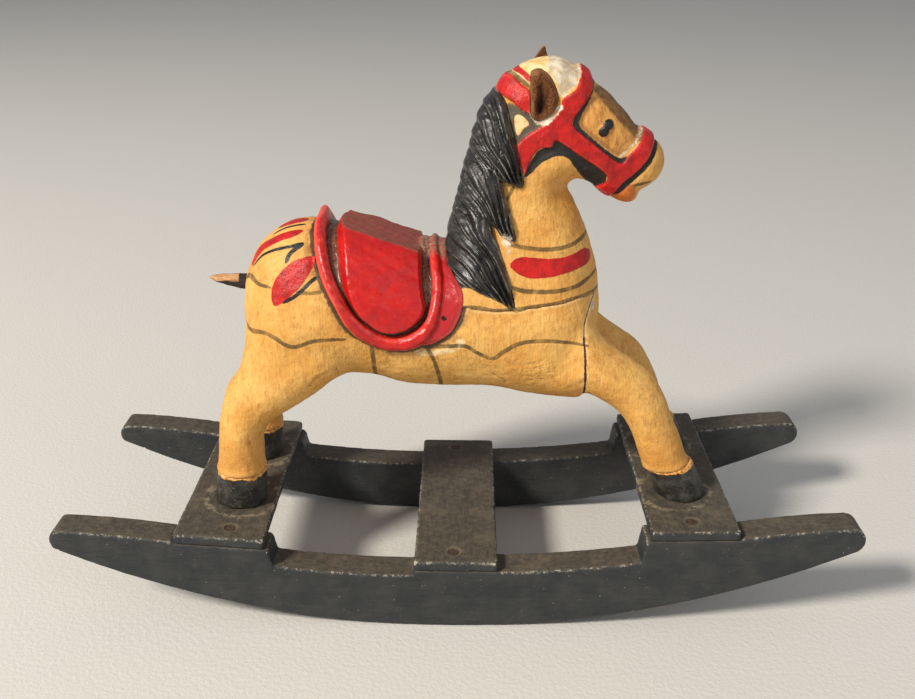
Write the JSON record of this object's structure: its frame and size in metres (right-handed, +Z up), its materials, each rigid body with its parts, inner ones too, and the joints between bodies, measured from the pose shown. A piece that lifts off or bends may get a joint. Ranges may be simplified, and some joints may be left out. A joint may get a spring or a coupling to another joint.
{
  "type": "rocking horse ornament",
  "caption": "Carved and painted wooden rocking horse ornament: a saddled horse of glued blocks nailed by its hooves to slats across curved rockers.",
  "frame": {"origin": "on the floor, midway between the rockers' tips and midway between their outer faces", "axes": "+X along the rockers towards the horse's head, +Y to the horse's left side, +Z up"},
  "size_m": [0.2019, 0.063, 0.1396],
  "materials": {
    "yellow_paint": "brush-painted ochre, satin, worn",
    "red_paint": "red paint, glossy",
    "mane_paint": "black paint, worn on the carved ridges",
    "hoof_paint": "black paint, dull",
    "base_paint": "blue-black paint, dusty on top",
    "bare_wood": "unpainted",
    "ear_leather": "brown suede",
    "nail_steel": "rusty"
  },
  "bodies": {
    "root": {"rocker_right": "base_paint", "rocker_left": "base_paint", "slat_rear": "base_paint", "slat_middle": "base_paint", "slat_front": "base_paint", "slat_nails": "nail_steel", "hoof_nails": "nail_steel", "leg_dowels": "bare_wood", "neck_dowel": "bare_wood", "tail_stub": "bare_wood", "torso": "yellow_paint", "head_neck": "yellow_paint", "ear_right": "ear_leather", "ear_left": "ear_leather", "mane": "mane_paint", "saddle": "red_paint", "front_leg_right": "yellow_paint", "front_hoof_right": "hoof_paint", "front_leg_left": "yellow_paint", "front_hoof_left": "hoof_paint", "hind_leg_right": "yellow_paint", "hind_hoof_right": "hoof_paint", "hind_leg_left": "yellow_paint", "hind_hoof_left": "hoof_paint"}
  },
  "joints": []
}
